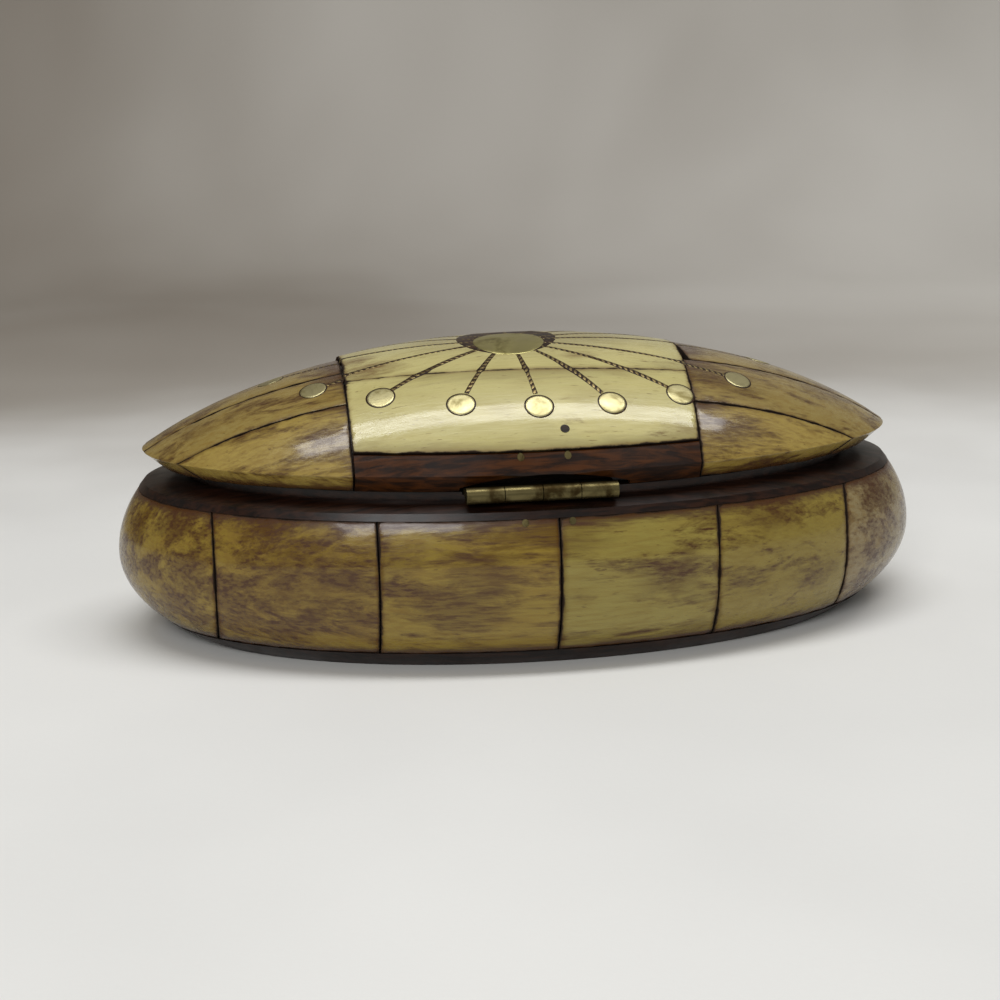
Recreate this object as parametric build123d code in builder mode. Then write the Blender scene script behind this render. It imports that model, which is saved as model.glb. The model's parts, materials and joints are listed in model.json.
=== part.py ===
from build123d import *
import os
from math import atan2, cos, hypot, sin, sqrt

os.makedirs("parts", exist_ok=True)

# Oval trinket box in wood, clad with bone plates and inlaid with brass.
# X runs along the box, the hinge is on the -Y side, Z is up.
# The origin is the middle of the flat underside.

# Base, outside
base_half_length = 75.0
base_half_width = 38.2
base_bulge_height = 15.3
foot_inset = 6.6
crest_inset = 2.7
crest_height = 28.4
neck_inset = 6.8
shoulder_height = 29.6
rim_height = 31.1

# Base, inside
wall_thickness = 5.0
end_wall_thickness = 19.5
floor_thickness = 4.0
floor_rebate = 1.5

# Bone cladding of the base
base_bone_thickness = 2.0
base_bone_bottom = 3.0
base_bone_top = 27.2
left_end_plate_length = 17.5
right_end_plate_length = 19.5
inner_seams = [-29.9, 0.8, 29.2]
base_seam_width = 0.6

# Lid, outside and inside
lid_gap = 0.3
lid_end_inset = 5.3
lid_overhang = 0.6
lid_nose_overhang = 1.7
lid_nose_rise = 3.0
lid_height = 21.3
lid_bone_thickness = 1.8
lid_wood_thickness = 4.4
left_end_drop = 0.8
right_end_drop = 0.3

# Seams of the lid, in plan
column_left = -33.3
column_right = 29.2
column_right_foot = 26.7
panel_seam_left = 11.8
panel_seam_middle = 16.2
panel_seam_right = 14.5
strip_rise = 6.6
left_seam_root = 17.2
left_seam_tip = 12.6
left_ridge_root = 6.6
right_seam_root = 21.6
right_seam_tip = 15.9
right_ridge_root = 9.5
ridge_tip = 2.2
lid_seam_width = 0.5

# Sun inlay
sun_x = -2.9
sun_y = -4.9
medallion_radius = 6.6
disc_radius = 2.45
disc_row_x = [-38.8, -27.5, -14.0, -0.6, 12.4, 25.3, 37.7]
disc_ring_half_length = 44.0
disc_ring_half_width = 24.6
disc_ring_slant = 0.03
tip_disc_x = 46.0
tip_disc_y = 2.0
ray_width = 1.0
inlay_depth = 0.6
inlay_clearance = 0.05
panel_pin_x = 3.2
panel_pin_y = -28.4
panel_pin_radius = 0.8
panel_pin_length = 1.9

# Hinge
hinge_x = -1.8
hinge_stand_off = 2.2
knuckle_length = 6.4
knuckle_count = 4
knuckle_gap = 0.15
knuckle_radius = 1.4
pin_radius = 0.6
pin_running_clearance = 0.05
leaf_thickness = 0.6
leaf_gap = 0.1
leaf_web_clearance = 0.25
mortise_clearance = 0.2
base_flap_drop = 8.6
lid_flap_rise = 6.5
rivet_radius = 0.6
rivet_head_radius = 1.1
rivet_head_height = 0.4
rivet_clearance = 0.03
rivet_spacing = 8.1
rivet_x = -1.0
base_rivet_drop = 4.5
lid_rivet_rise = 5.6
notch_left = -15.6
notch_right = 14.0
notch_rise = 2.8
notch_side_rise = 0.6
notch_depth = 5.4

# Places worked out from the sizes above
foot_half_width = base_half_width - foot_inset
crest_half_width = base_half_width - crest_inset
neck_half_width = base_half_width - neck_inset
cavity_half_width = neck_half_width - wall_thickness
cavity_half_length = base_half_length - end_wall_thickness
left_end_seam = left_end_plate_length - base_half_length
right_end_seam = base_half_length - right_end_plate_length
lid_edge_half_width = neck_half_width + lid_overhang
lid_half_width = lid_edge_half_width + lid_nose_overhang
lid_half_length = base_half_length - lid_end_inset
hinge_y = -(lid_edge_half_width + hinge_stand_off)
lid_bottom = rim_height + lid_gap
nose_height = lid_bottom + lid_nose_rise
lid_apex = lid_bottom + lid_height
cavity_apex = lid_apex - lid_bone_thickness - lid_wood_thickness
hinge_z = rim_height + lid_gap / 2
leaf_half_width = (knuckle_count * knuckle_length + (knuckle_count - 1) * knuckle_gap) / 2
flap_y = -(cavity_half_width + leaf_thickness)
web_y = hinge_y + knuckle_radius + leaf_web_clearance
strip_top = lid_bottom + strip_rise
reach = 2 * base_half_length
dome_rise = lid_apex - nose_height
dome_radius = (lid_half_width**2 + dome_rise**2) / (2 * dome_rise)
dome_center = lid_apex - dome_radius
lid_ratio = lid_half_length / lid_half_width


def base_form(inset):
    """Solid form of the base, every side inset by a cladding thickness."""
    with BuildPart() as form:
        with BuildSketch(Plane.XZ):
            with BuildLine():
                bulge = (base_half_width - inset, base_bulge_height)
                crest = (crest_half_width - inset, crest_height)
                shoulder = (neck_half_width - inset, shoulder_height)
                foot = (foot_half_width - inset, 0)
                TangentArc(bulge, foot, tangent=(0, -1))
                TangentArc(bulge, crest, tangent=(0, 1))
                TangentArc(shoulder, crest, tangent=(1, 0))
                Polyline(shoulder, (neck_half_width - inset, rim_height), (0, rim_height), (0, 0), foot)
            make_face()
        revolve(axis=Axis.Z)
        scale(by=((base_half_length - inset) / (base_half_width - inset), 1, 1))
    return form.part


def lid_form(inset, drop):
    """Solid form of the lid, the sides inset and the apex lowered besides."""
    with BuildPart() as form:
        with BuildSketch(Plane.XZ):
            with BuildLine():
                edge = (lid_edge_half_width - inset, lid_bottom)
                nose = (lid_half_width - inset, nose_height)
                apex = (0, lid_apex - inset - drop)
                Polyline(apex, (0, lid_bottom), edge, nose)
                TangentArc(apex, nose, tangent=(1, 0))
            make_face()
        revolve(axis=Axis.Z)
        scale(by=((lid_half_length - inset) / (lid_half_width - inset), 1, 1))
    return form.part


def write(part, label):
    """Label a finished piece and write its file."""
    part.label = label
    export_step(part, f"parts/{label}.step")


# Forms that several pieces are cut from
base_outer = base_form(0)
base_inner = base_form(base_bone_thickness)
lid_outer = lid_form(0, 0)
left_end_outer = lid_form(0, left_end_drop)
right_end_outer = lid_form(0, right_end_drop)
lid_inner = lid_form(lid_bone_thickness, 0)
inlay_floor = lid_form(inlay_depth, max(left_end_drop, right_end_drop))

# Bone layer of the base, before it is cut into plates
with BuildPart() as base_skin:
    add(base_outer)
    add(base_inner, mode=Mode.SUBTRACT)
    with BuildSketch(Plane.XY.offset(base_bone_bottom)):
        Rectangle(reach, reach)
    extrude(amount=base_bone_top - base_bone_bottom, mode=Mode.INTERSECT)

# Rivets of the hinge, along Y from outside the wall to inside the flap
rivet_places = [rivet_x - rivet_spacing / 2, rivet_x + rivet_spacing / 2]


def rivet_bars(height, radius):
    """Two round bars through the wall behind the hinge."""
    with BuildPart() as bars:
        with BuildSketch(Plane.XZ.offset(-flap_y - leaf_thickness)):
            for x in rivet_places:
                with Locations((x, height)):
                    Circle(radius)
        extrude(amount=base_half_width)
    return bars.part


def rivets(height, form):
    """Two rivets, flush outside and with a low head on the flap."""
    with BuildPart() as pair:
        add(rivet_bars(height, rivet_radius))
        add(form, mode=Mode.INTERSECT)
        with BuildSketch(Plane.XZ.offset(-flap_y - leaf_thickness)):
            for x in rivet_places:
                with Locations((x, height)):
                    Circle(rivet_head_radius)
        extrude(amount=-rivet_head_height)
    return pair.part


base_rivet_z = rim_height - base_rivet_drop
lid_rivet_z = lid_bottom + lid_rivet_rise
base_rivet_holes = rivet_bars(base_rivet_z, rivet_radius + rivet_clearance)
lid_rivet_holes = rivet_bars(lid_rivet_z, rivet_radius + rivet_clearance)


def mortise(bottom, top):
    """Room for one hinge leaf: its web and its flap, between two heights."""
    with BuildPart() as room:
        with BuildSketch(Plane.XY.offset(bottom)):
            with Locations((hinge_x, flap_y)):
                Rectangle(
                    2 * (leaf_half_width + mortise_clearance),
                    cavity_half_width,
                    align=(Align.CENTER, Align.MIN),
                )
        extrude(amount=top - bottom)
    return room.part


def web_mortise(bottom, top):
    """Room for the flat web of a hinge leaf across the rim."""
    with BuildPart() as room:
        with BuildSketch(Plane.XY.offset(bottom)):
            with Locations((hinge_x, flap_y + leaf_thickness)):
                Rectangle(
                    2 * (leaf_half_width + mortise_clearance),
                    base_half_width,
                    align=(Align.CENTER, Align.MAX),
                )
        extrude(amount=top - bottom)
    return room.part


# Base: wood wall, with the cavity, the rebate of the floor and the hinge mortise
base_leaf_bottom = hinge_z - leaf_gap / 2 - leaf_thickness
base_flap_bottom = base_leaf_bottom - base_flap_drop
with BuildPart() as base_wall:
    add(base_outer)
    add(base_skin.part, mode=Mode.SUBTRACT)
    with BuildSketch(Plane.XY):
        Ellipse(cavity_half_length, cavity_half_width)
    extrude(amount=rim_height, mode=Mode.SUBTRACT)
    with BuildSketch(Plane.XY):
        Ellipse(cavity_half_length + floor_rebate, cavity_half_width + floor_rebate)
    extrude(amount=floor_thickness, mode=Mode.SUBTRACT)
    add(mortise(base_flap_bottom - mortise_clearance, rim_height), mode=Mode.SUBTRACT)
    add(web_mortise(base_leaf_bottom, rim_height), mode=Mode.SUBTRACT)
    add(base_rivet_holes, mode=Mode.SUBTRACT)
write(base_wall.part, "base_wall")

# Base: floor board, let into the underside
with BuildPart() as base_floor:
    with BuildSketch(Plane.XY):
        Ellipse(cavity_half_length + floor_rebate, cavity_half_width + floor_rebate)
    extrude(amount=floor_thickness)
write(base_floor.part, "base_floor")


def base_plate(x_from, x_to, y_from, y_to):
    """One bone plate of the base, between two seams."""
    with BuildPart() as plate:
        add(base_skin.part)
        with BuildSketch(Plane.XY):
            with Locations((x_from, y_from)):
                Rectangle(x_to - x_from, y_to - y_from, align=Align.MIN)
        extrude(amount=rim_height, mode=Mode.INTERSECT)
        add(base_rivet_holes, mode=Mode.SUBTRACT)
    return plate.part


# Base: bone plates, four on each long side and one round each end
half_seam = base_seam_width / 2
seam_places = [left_end_seam, *inner_seams, right_end_seam]
for number, (x_from, x_to) in enumerate(zip(seam_places, seam_places[1:]), start=1):
    near = base_plate(x_from + half_seam, x_to - half_seam, -base_half_width, 0)
    write(near, f"base_bone_near_{number}")
    far = base_plate(x_from + half_seam, x_to - half_seam, 0, base_half_width)
    write(far, f"base_bone_far_{number}")
left_end = base_plate(-base_half_length, seam_places[0] - half_seam, -base_half_width, base_half_width)
write(left_end, "base_bone_end_left")
right_end = base_plate(seam_places[-1] + half_seam, base_half_length, -base_half_width, base_half_width)
write(right_end, "base_bone_end_right")

# Lid: wood core, with its hollow, the hinge mortise and the arch above the barrel
lid_leaf_top = hinge_z + leaf_gap / 2 + leaf_thickness
lid_flap_top = lid_leaf_top + lid_flap_rise
with BuildPart() as lid_hollow:
    with BuildSketch(Plane.XZ):
        with BuildLine():
            hollow_edge = (cavity_half_width, lid_bottom)
            hollow_apex = (0, cavity_apex)
            TangentArc(hollow_apex, hollow_edge, tangent=(1, 0))
            Polyline(hollow_edge, (0, lid_bottom), hollow_apex)
        make_face()
    revolve(axis=Axis.Z)
    scale(by=(cavity_half_length / cavity_half_width, 1, 1))

with BuildPart() as barrel_arch:
    with BuildSketch(Plane.XZ.offset(-hinge_y - notch_depth)):
        with BuildLine():
            arch_left = (notch_left, lid_bottom + notch_side_rise)
            arch_top = ((notch_left + notch_right) / 2, lid_bottom + notch_rise)
            arch_right = (notch_right, lid_bottom + notch_side_rise)
            ThreePointArc(arch_left, arch_top, arch_right)
            Polyline(arch_right, (notch_right, 0), (notch_left, 0), arch_left)
        make_face()
    extrude(amount=base_half_width)


def dome_plane(x, y):
    """Plane that touches the lid's dome above a point of the plan."""
    rise = sqrt(dome_radius**2 - (x / lid_ratio) ** 2 - y**2)
    return Plane(origin=(x, y, dome_center + rise), z_dir=(x / lid_ratio**2, y, rise))


# Lid: small dark peg through the near panel into the core
with BuildPart() as panel_pin:
    with BuildSketch(dome_plane(panel_pin_x, panel_pin_y)):
        Circle(panel_pin_radius)
    extrude(amount=-panel_pin_length)
write(panel_pin.part, "panel_pin")

with BuildPart() as lid_core:
    add(lid_inner)
    add(panel_pin.part, mode=Mode.SUBTRACT)
    add(lid_hollow.part, mode=Mode.SUBTRACT)
    add(mortise(lid_bottom, lid_flap_top + mortise_clearance), mode=Mode.SUBTRACT)
    add(web_mortise(lid_bottom, lid_leaf_top), mode=Mode.SUBTRACT)
    add(barrel_arch.part, mode=Mode.SUBTRACT)
    add(lid_rivet_holes, mode=Mode.SUBTRACT)
write(lid_core.part, "lid_core")

# Sun inlay: brass discs, twisted wire rays and the medallion they start from
disc_places = []
for x in disc_row_x:
    across = disc_ring_half_width * sqrt(1 - (x / disc_ring_half_length) ** 2)
    slant = disc_ring_slant * x
    disc_places.append((x, -across - slant))
    disc_places.append((x, across - slant))
disc_places.append((-tip_disc_x, tip_disc_y))
disc_places.append((tip_disc_x, tip_disc_y))


def round_cutters(places, radius):
    """Round bars square to the dome, one at each place."""
    with BuildPart() as bars:
        for place in places:
            with BuildSketch(dome_plane(*place)):
                Circle(radius)
            extrude(amount=2 * lid_bone_thickness, both=True)
    return bars.part


def edge_along(x, y, radius, heading, height):
    """Plan distance from a round inlay's middle to its edge, at a height."""
    touching = dome_plane(x, y)
    normal = touching.z_dir
    lean = (normal.X * cos(heading) + normal.Y * sin(heading)) / normal.Z
    return radius * sqrt(1 + lean**2), lean * (height - touching.origin.Z)


def ray_cutters(width, clearance):
    """Slabs from the medallion to every disc, their ends square to the dome."""
    with BuildPart() as slabs:
        for x, y in disc_places:
            heading = atan2(y - sun_y, x - sun_x)
            length = hypot(x - sun_x, y - sun_y)
            outline = []
            for height in (strip_top, lid_apex):
                start, lean = edge_along(sun_x, sun_y, medallion_radius, heading, height)
                outline.append((start + lean + clearance, height))
            for height in (lid_apex, strip_top):
                end, lean = edge_along(x, y, disc_radius, heading, height)
                outline.append((length - end + lean - clearance, height))
            along = (cos(heading), sin(heading), 0)
            with BuildSketch(Plane((sun_x, sun_y, 0), x_dir=along, z_dir=(along[1], -along[0], 0))):
                Polygon(*outline, align=None)
            extrude(amount=width / 2, both=True)
    return slabs.part


def lid_plan(points):
    """Straight-sided region of the lid's plan, drawn in by half a seam."""
    with BuildSketch() as region:
        Polygon(*points, align=None)
        offset(amount=-lid_seam_width / 2, kind=Kind.INTERSECTION)
    return region.sketch


column = [
    (column_left, -lid_half_width),
    (column_right_foot, -lid_half_width),
    (column_right, 0),
    (column_right_foot, lid_half_width),
    (column_left, lid_half_width),
]
with BuildPart() as column_prism:
    with BuildSketch(Plane.XY.offset(lid_bottom)):
        Polygon(*column, align=None)
    extrude(amount=lid_height)

with BuildPart() as left_prism:
    with BuildSketch(Plane.XY.offset(lid_bottom)):
        with Locations((column_left, 0)):
            Rectangle(reach, reach, align=(Align.MAX, Align.CENTER))
    extrude(amount=lid_height)


def end_layer(form, left):
    """One end of the lid beyond the middle column."""
    with BuildPart() as layer:
        add(form)
        add(column_prism.part, mode=Mode.SUBTRACT)
        add(left_prism.part, mode=Mode.INTERSECT if left else Mode.SUBTRACT)
    return layer.part


with BuildPart() as column_form:
    add(lid_outer)
    add(column_prism.part, mode=Mode.INTERSECT)
with BuildPart() as inlay_layer:
    add(column_form.part)
    add(end_layer(left_end_outer, True))
    add(end_layer(right_end_outer, False))
    add(inlay_floor, mode=Mode.SUBTRACT)


def inlaid(cutters):
    """The part of some cutters that lies in the top layer of the bone."""
    with BuildPart() as inlay:
        add(inlay_layer.part)
        add(cutters, mode=Mode.INTERSECT)
    return inlay.part


medallion_cutter = round_cutters([(sun_x, sun_y)], medallion_radius)
disc_cutters = round_cutters(disc_places, disc_radius)
sun_medallion = inlaid(medallion_cutter)
write(sun_medallion, "sun_medallion")
sun_discs = inlaid(disc_cutters)
write(sun_discs, "sun_discs")
sun_rays = inlaid(ray_cutters(ray_width, inlay_clearance))
write(sun_rays, "sun_rays")

with BuildPart() as sun_pockets:
    add(round_cutters([(sun_x, sun_y)], medallion_radius + inlay_clearance))
    add(round_cutters(disc_places, disc_radius + inlay_clearance))
    add(ray_cutters(ray_width + 2 * inlay_clearance, 0))
    add(inlay_floor, mode=Mode.SUBTRACT)

# Lid: bone skins of the column and of the ends, which lie a little lower
with BuildPart() as column_skin:
    add(lid_outer)
    add(lid_inner, mode=Mode.SUBTRACT)
with BuildPart() as left_skin:
    add(left_end_outer)
    add(lid_inner, mode=Mode.SUBTRACT)
with BuildPart() as right_skin:
    add(right_end_outer)
    add(lid_inner, mode=Mode.SUBTRACT)


def column_edge(across):
    """Where the slanting right edge of the middle column lies."""
    return column_right - (column_right - column_right_foot) * across / lid_half_width


left_tip = (-base_half_length, left_seam_tip)
left_root = (column_left, left_seam_root)
left_ridge = (column_left, left_ridge_root)
left_ridge_end = (-base_half_length, ridge_tip)
right_tip = (base_half_length, right_seam_tip)
right_root = (column_edge(right_seam_root), right_seam_root)
right_foot = (column_right_foot, lid_half_width)
right_ridge = (column_edge(right_ridge_root), right_ridge_root)
right_ridge_end = (base_half_length, ridge_tip)
outer_left = (-base_half_length, lid_half_width)
outer_right = (base_half_length, lid_half_width)
panel_left = (column_left, panel_seam_left)
panel_right = (column_edge(panel_seam_right), panel_seam_right)
panel_middle = ((column_left + column_right) / 2, panel_seam_middle)


def mirrored(points):
    """The same points on the other side of the box's long axis."""
    return [(x, -y) for x, y in points]


def lid_plate(skin, region, bottom, top):
    """One plate of the lid: a region of the plan, between two heights."""
    with BuildPart() as plate:
        add(skin)
        with BuildSketch(Plane.XY.offset(bottom)):
            add(region)
        extrude(amount=top - bottom, mode=Mode.INTERSECT)
        add(sun_pockets.part, mode=Mode.SUBTRACT)
    return plate.part


end_plates = {
    "lid_bone_left_lower": [left_root, left_tip, outer_left, (column_left, lid_half_width)],
    "lid_bone_left_upper": [left_ridge, left_ridge_end, left_tip, left_root],
    "lid_bone_right_lower": [right_root, right_tip, outer_right, right_foot],
    "lid_bone_right_upper": [right_ridge, right_ridge_end, right_tip, right_root],
}
for name, points in end_plates.items():
    skin = left_skin.part if "left" in name else right_skin.part
    far_region = lid_plan(points)
    write(lid_plate(skin, far_region, lid_bottom, lid_apex), f"{name}_far")
    near_region = lid_plan(mirrored(points))
    write(lid_plate(skin, near_region, lid_bottom, lid_apex), f"{name}_near")
left_region = lid_plan([left_ridge, left_ridge_end, *reversed(mirrored([left_ridge, left_ridge_end]))])
write(lid_plate(left_skin.part, left_region, lid_bottom, lid_apex), "lid_bone_left_ridge")
right_points = [(column_right, 0), right_ridge, right_ridge_end]
right_region = lid_plan([*right_points, *reversed(mirrored(right_points[1:]))])
write(lid_plate(right_skin.part, right_region, lid_bottom, lid_apex), "lid_bone_right_ridge")


# Lid: middle column, three bone panels over two strips of dark wood
with BuildSketch() as far_panel_plan:
    with BuildLine():
        ThreePointArc(panel_left, panel_middle, panel_right)
        Polyline(panel_right, right_foot, (column_left, lid_half_width), panel_left)
    make_face()
    offset(amount=-lid_seam_width / 2, kind=Kind.INTERSECTION)
with BuildSketch() as top_panel_plan:
    with BuildLine():
        ThreePointArc(panel_left, panel_middle, panel_right)
        near_left, near_middle, near_right = mirrored([panel_left, panel_middle, panel_right])
        Polyline(panel_right, (column_right, 0), near_right)
        ThreePointArc(near_right, near_middle, near_left)
        Line(near_left, panel_left)
    make_face()
    offset(amount=-lid_seam_width / 2, kind=Kind.INTERSECTION)
near_panel_plan = mirror(far_panel_plan.sketch, about=Plane.XZ)
strip_points = [(column_left, 0), (column_right, 0), right_foot, (column_left, lid_half_width)]

write(lid_plate(column_skin.part, top_panel_plan.sketch, lid_bottom, lid_apex), "lid_panel_top")
far_panel = lid_plate(column_skin.part, far_panel_plan.sketch, strip_top, lid_apex)
write(far_panel, "lid_panel_far")
with BuildPart() as near_panel:
    add(lid_plate(column_skin.part, near_panel_plan, strip_top, lid_apex))
    add(panel_pin.part, mode=Mode.SUBTRACT)
write(near_panel.part, "lid_panel_near")

strip_face = strip_top - lid_seam_width
far_strip = lid_plate(column_skin.part, lid_plan(strip_points), lid_bottom, strip_face)
write(far_strip, "lid_strip_far")
with BuildPart() as near_strip:
    add(lid_plate(column_skin.part, lid_plan(mirrored(strip_points)), lid_bottom, strip_face))
    add(barrel_arch.part, mode=Mode.SUBTRACT)
    add(lid_rivet_holes, mode=Mode.SUBTRACT)
write(near_strip.part, "lid_strip_near")


def hinge_leaf(knuckles, web_bottom, flap_bottom, flap_top, bore):
    """One bent brass leaf with its own knuckles of the barrel."""
    left = hinge_x - leaf_half_width
    flap_face = flap_y + leaf_thickness
    with BuildPart() as leaf:
        for index in knuckles:
            start = left + index * (knuckle_length + knuckle_gap)
            with BuildSketch(Plane.YZ.offset(start)):
                with Locations((hinge_y, hinge_z)):
                    Circle(knuckle_radius)
            extrude(amount=knuckle_length)
            with BuildSketch(Plane.XY.offset(web_bottom)):
                with Locations((start, hinge_y)):
                    Rectangle(knuckle_length, web_y - hinge_y, align=Align.MIN)
            extrude(amount=leaf_thickness)
        with BuildSketch(Plane.XY.offset(web_bottom)):
            with Locations((left, web_y)):
                Rectangle(2 * leaf_half_width, flap_face - web_y, align=Align.MIN)
        extrude(amount=leaf_thickness)
        with BuildSketch(Plane.XY.offset(flap_bottom)):
            with Locations((left, flap_y)):
                Rectangle(2 * leaf_half_width, leaf_thickness, align=Align.MIN)
        extrude(amount=flap_top - flap_bottom)
        with BuildSketch(Plane.YZ.offset(left)):
            with Locations((hinge_y, hinge_z)):
                Circle(bore)
        extrude(amount=2 * leaf_half_width, mode=Mode.SUBTRACT)
        add(base_rivet_holes, mode=Mode.SUBTRACT)
        add(lid_rivet_holes, mode=Mode.SUBTRACT)
    return leaf.part


# Hinge: the base leaf grips the pin, the lid leaf runs on it
base_knuckles = range(0, knuckle_count, 2)
lid_knuckles = range(1, knuckle_count, 2)
base_web_top = base_leaf_bottom + leaf_thickness
lid_web_bottom = lid_leaf_top - leaf_thickness
base_leaf = hinge_leaf(base_knuckles, base_leaf_bottom, base_flap_bottom, base_web_top, pin_radius)
write(base_leaf, "hinge_leaf_base")
lid_bore = pin_radius + pin_running_clearance
lid_leaf = hinge_leaf(lid_knuckles, lid_web_bottom, lid_web_bottom, lid_flap_top, lid_bore)
write(lid_leaf, "hinge_leaf_lid")

with BuildPart() as hinge_pin:
    with BuildSketch(Plane.YZ.offset(hinge_x - leaf_half_width)):
        with Locations((hinge_y, hinge_z)):
            Circle(pin_radius)
    extrude(amount=2 * leaf_half_width)
write(hinge_pin.part, "hinge_pin")

# Rivets through the wall, the cladding and the flaps of the hinge
write(rivets(base_rivet_z, base_outer), "base_rivets")
write(rivets(lid_rivet_z, lid_outer), "lid_rivets")
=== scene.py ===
# %% [markdown]
# # An oval trinket box in bone, dark wood and brass
# The box is a dark wood carcass with thin plates of polished bone glued round it.
# A sun of brass is let into the domed lid, and a small brass hinge joins lid and base.
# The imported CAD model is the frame: it gives every size, and the pieces below dress it.

import json
from math import atan2, cos, exp, hypot, pi, radians, sin, sqrt

import bmesh
import bpy
from mathutils import Matrix, Vector, kdtree, noise

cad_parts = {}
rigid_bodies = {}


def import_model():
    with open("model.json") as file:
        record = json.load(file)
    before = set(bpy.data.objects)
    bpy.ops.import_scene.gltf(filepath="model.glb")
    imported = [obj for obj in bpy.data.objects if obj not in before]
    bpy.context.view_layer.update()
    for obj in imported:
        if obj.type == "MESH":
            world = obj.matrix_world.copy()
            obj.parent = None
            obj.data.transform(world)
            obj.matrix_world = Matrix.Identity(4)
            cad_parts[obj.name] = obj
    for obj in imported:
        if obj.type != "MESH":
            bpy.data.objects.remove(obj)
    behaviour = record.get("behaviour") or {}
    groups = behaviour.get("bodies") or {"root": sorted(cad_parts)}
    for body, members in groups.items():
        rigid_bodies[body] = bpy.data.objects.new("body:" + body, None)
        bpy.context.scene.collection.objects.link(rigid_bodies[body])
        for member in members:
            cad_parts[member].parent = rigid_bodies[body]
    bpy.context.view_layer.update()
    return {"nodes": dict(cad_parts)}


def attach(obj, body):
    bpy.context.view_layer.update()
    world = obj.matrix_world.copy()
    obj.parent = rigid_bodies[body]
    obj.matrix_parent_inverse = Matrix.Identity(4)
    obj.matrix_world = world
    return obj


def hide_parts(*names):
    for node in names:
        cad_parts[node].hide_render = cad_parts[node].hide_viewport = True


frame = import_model()
MM = 0.001

# %% [markdown]
# ## The two forms
# Base and lid are turned shapes stretched along X, so one half profile each says it all.
# The sizes are those of the CAD model, in millimetres, and arcs are worked out by formula.

# %% Sizes of the base and the lid
BASE_LENGTH, BASE_WIDTH = 75.0, 38.2
BULGE_HEIGHT, FOOT_WIDTH = 15.3, 31.6
CREST_WIDTH, CREST_HEIGHT = 35.5, 28.4
BONE_BOTTOM, BONE_TOP = 3.0, 27.2
BASE_BONE = 2.0
LID_LENGTH, LID_WIDTH = 69.7, 33.7
LID_EDGE_WIDTH, LID_BOTTOM = 32.0, 31.4
NOSE_HEIGHT, LID_APEX = 34.4, 52.7
LEFT_DROP, RIGHT_DROP = 0.8, 0.3
LID_BONE = 1.8
BASE_RATIO = BASE_LENGTH / BASE_WIDTH
LID_RATIO = LID_LENGTH / LID_WIDTH
COLUMN_LEFT, COLUMN_RIGHT, COLUMN_RIGHT_FOOT = -33.3, 29.2, 26.7


def arc_radius(half_width, rise):
    """Radius of a dome that is level at its top and this wide and high."""
    return (half_width**2 + rise**2) / (2 * rise)


def base_radius(height):
    """Half-width of the base at a height, from its two side arcs."""
    if height < BULGE_HEIGHT:
        radius = arc_radius(BULGE_HEIGHT, BASE_WIDTH - FOOT_WIDTH)
    else:
        radius = arc_radius(CREST_HEIGHT - BULGE_HEIGHT, BASE_WIDTH - CREST_WIDTH)
    return BASE_WIDTH - radius + sqrt(radius**2 - (height - BULGE_HEIGHT) ** 2)


def lid_height(x, y, drop=0.0):
    """Height of the lid's dome above a point of its plan."""
    rise = LID_APEX - drop - NOSE_HEIGHT
    radius = arc_radius(LID_WIDTH, rise)
    reach = min(hypot(x / LID_RATIO, y), LID_WIDTH)
    return LID_APEX - drop - radius + sqrt(radius**2 - reach**2)


def column_edge(y):
    """Where the slanting right edge of the lid's middle column lies."""
    return COLUMN_RIGHT - (COLUMN_RIGHT - COLUMN_RIGHT_FOOT) * abs(y) / LID_WIDTH


def surface_height(x, y):
    """Height of the finished lid: the end plates lie a little lower."""
    if x < COLUMN_LEFT:
        return lid_height(x, y, LEFT_DROP)
    return lid_height(x, y, RIGHT_DROP if x > column_edge(y) else 0.0)


print("base at mid height", round(base_radius(BULGE_HEIGHT), 2), "lid top", round(lid_height(0, 0), 2))

# %% [markdown]
# ## Shells and cuts
# A bone plate is a piece of one curved skin. The skin is spun from its half profile,
# stretched into an oval, and bisected along the seams, which is how a maker would fit
# plates round a carcass. Spinning keeps the surface smoother than any boolean would.

# %% Spin, cut and finish helpers
STEPS = 384
MERGE_DISTANCE = 0.1
# Wear of the edges: all in millimetres, apart from CHIP_LEVEL, which is a share.
EDGE_REACH, RIM_REACH = 0.9, 2.6
ROUGH_SIZE, WAVE_SIZE = 2.2, 11.0
CHIP_REACH, CHIP_LEVEL = 0.5, 0.55
SINK, WAVE = 0.08, 0.03
CREASE_ANGLE = radians(50)


def spun_skin(profile, ratio):
    """An open skin spun from points (half-width, height) and stretched along X."""
    bm = bmesh.new()
    verts = [bm.verts.new((r * MM, 0, z * MM)) for r, z in profile]
    edges = [bm.edges.new(pair) for pair in zip(verts, verts[1:])]
    bmesh.ops.spin(
        bm,
        geom=verts + edges,
        cent=(0, 0, 0),
        axis=(0, 0, 1),
        angle=2 * pi,
        steps=STEPS,
        use_merge=True,
    )
    bmesh.ops.remove_doubles(bm, verts=bm.verts, dist=0.005 * MM)
    bmesh.ops.scale(bm, vec=(ratio, 1, 1), verts=bm.verts)
    bmesh.ops.recalc_face_normals(bm, faces=bm.faces)
    return bm


def everything(bm):
    """All the geometry of a mesh, as the cutting operator wants it."""
    return bm.verts[:] + bm.edges[:] + bm.faces[:]


def cut(bm, point, away):
    """Cut through a point and delete what lies on the side that away points to."""
    bmesh.ops.bisect_plane(
        bm,
        geom=everything(bm),
        plane_co=Vector(point) * MM,
        plane_no=away,
        clear_outer=True,
        dist=0.001 * MM,
    )


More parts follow.
